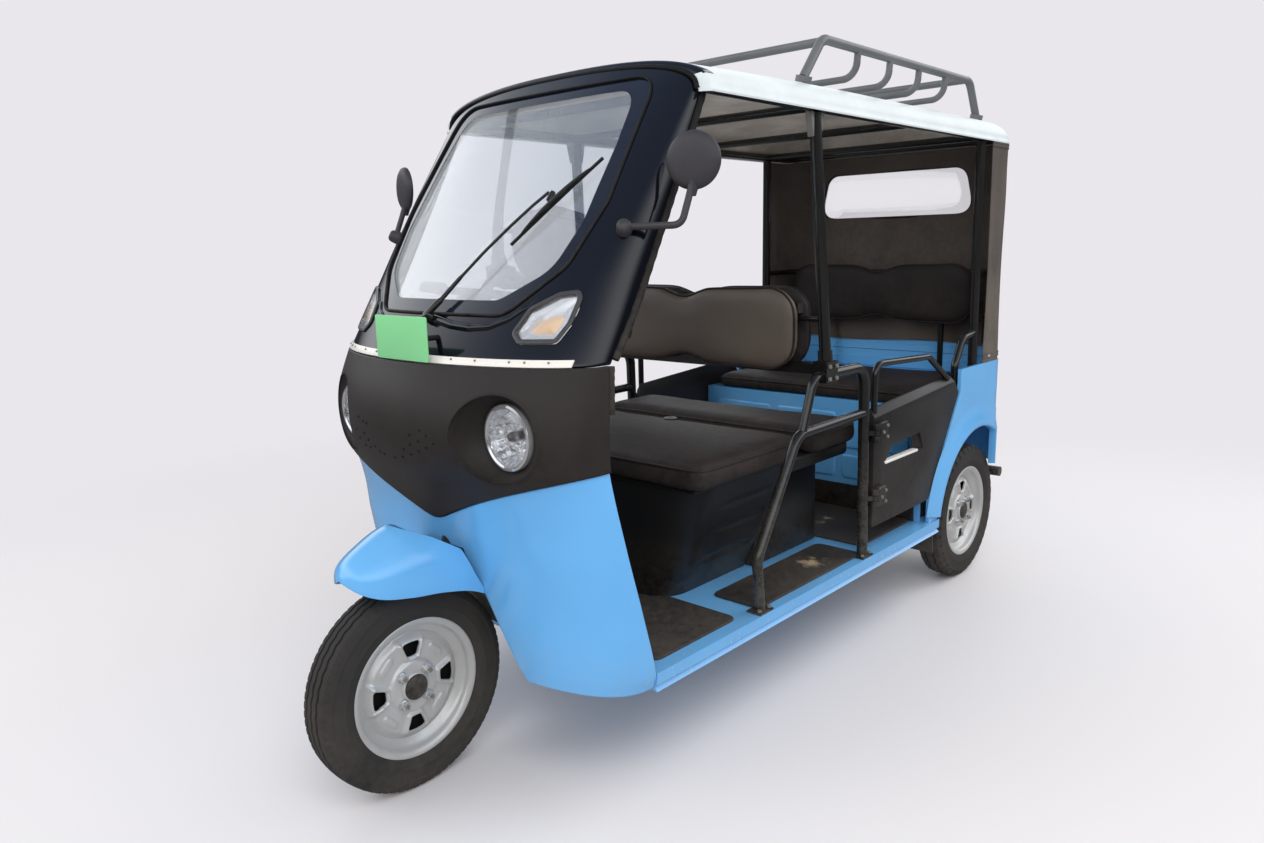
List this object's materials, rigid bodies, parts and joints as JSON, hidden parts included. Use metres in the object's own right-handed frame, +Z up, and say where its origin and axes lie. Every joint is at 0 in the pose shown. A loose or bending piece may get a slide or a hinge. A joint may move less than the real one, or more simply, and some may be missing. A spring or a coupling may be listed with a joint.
{
  "type": "battery auto rickshaw",
  "caption": "Open-sided three-wheeled passenger vehicle with a moulded front, back-to-back seats, half doors, canvas back and a roof rack; steers and rolls.",
  "frame": {"origin": "on the ground, midway between the front of the front tyre and the back of the rear bumper, on the centre line", "axes": "+X forward, +Y to the vehicle's left, +Z up"},
  "size_m": [2.6876, 1.1604, 1.8014],
  "materials": {
    "body_blue": "gloss",
    "apron_blue": "gloss",
    "cowl_black": "matt",
    "surround_navy": "gloss",
    "strip_white": "gloss",
    "glass": "clear",
    "lamp_clear": "clear",
    "lamp_amber": "clear",
    "lamp_red": "gloss",
    "plate_green": "satin",
    "black_metal": "satin",
    "black_plastic": "matt",
    "mirror_black": "satin",
    "vinyl": "satin",
    "mat_rubber": "worn",
    "door_black": "satin",
    "canvas": "woven",
    "clear_vinyl": "clear",
    "roof_white": "gloss",
    "rack_grey": "satin",
    "tyre": "matt",
    "rim_silver": "satin",
    "battery_case": "matt"
  },
  "bodies": {
    "chassis": {"floor_pan": "body_blue", "chassis_frame": "black_metal", "front_apron": "apron_blue", "front_fender": "apron_blue", "headlamp_cowl": "cowl_black", "light_strip": "strip_white", "screen_surround": "surround_navy", "windscreen": "glass", "headlamps": "lamp_clear", "front_indicators": "lamp_amber", "front_plate": "plate_green", "wiper": "black_metal", "mirrors": "mirror_black", "inner_fairing": "black_plastic", "steering_head": "black_metal", "floor_mats": "mat_rubber", "seat_box": "black_plastic", "battery": "battery_case", "driver_cushion": "vinyl", "passenger_cushion": "vinyl", "backrest_frame": "black_metal", "driver_backrest": "vinyl", "passenger_backrest": "vinyl", "side_frames": "black_metal", "centre_pillars": "black_metal", "quarter_panels": "body_blue", "rear_panel": "body_blue", "bench_base": "body_blue", "bench_cushion": "vinyl", "bench_backrest": "vinyl", "rear_posts": "black_metal", "rear_canvas": "canvas", "rear_window": "clear_vinyl", "roof_frame": "black_metal", "roof_shell": "roof_white", "roof_rack": "rack_grey", "tail_lamps": "lamp_red", "rear_bumper": "black_metal", "rear_axle": "black_metal", "leaf_springs": "black_metal"},
    "steering": {"fork": "black_metal", "handlebar": "black_metal", "splash_guard": "black_plastic"},
    "front_wheel": {"tyre_front": "tyre", "rim_front": "rim_silver"},
    "rear_wheel_left": {"tyre_rear_left": "tyre", "rim_rear_left": "rim_silver"},
    "rear_wheel_right": {"tyre_rear_right": "tyre", "rim_rear_right": "rim_silver"},
    "door_left": {"door_left": "door_black"},
    "door_right": {"door_right": "door_black"}
  },
  "joints": [
    {"name": "steering_turn", "type": "hinge", "parent": "chassis", "child": "steering", "pos_m": [1.13625, 0, 0], "axis": [-0.309, 0, 0.9511], "range_deg": [-38, 38]},
    {"name": "front_wheel_spin", "type": "hinge", "parent": "steering", "child": "front_wheel", "pos_m": [1.09625, 0, 0.2475], "axis": [0, 1, 0], "continuous": true},
    {"name": "rear_wheel_left_spin", "type": "hinge", "parent": "chassis", "child": "rear_wheel_left", "pos_m": [-1.04075, 0.411, 0.2475], "axis": [0, 1, 0], "continuous": true},
    {"name": "rear_wheel_right_spin", "type": "hinge", "parent": "chassis", "child": "rear_wheel_right", "pos_m": [-1.04075, -0.411, 0.2475], "axis": [0, 1, 0], "continuous": true},
    {"name": "door_left_hinge", "type": "hinge", "parent": "chassis", "child": "door_left", "pos_m": [-0.24375, 0.488, 0.58], "axis": [0, 0, -1], "range_deg": [0, 85]},
    {"name": "door_right_hinge", "type": "hinge", "parent": "chassis", "child": "door_right", "pos_m": [-0.24375, -0.488, 0.58], "axis": [0, 0, 1], "range_deg": [0, 85]}
  ]
}
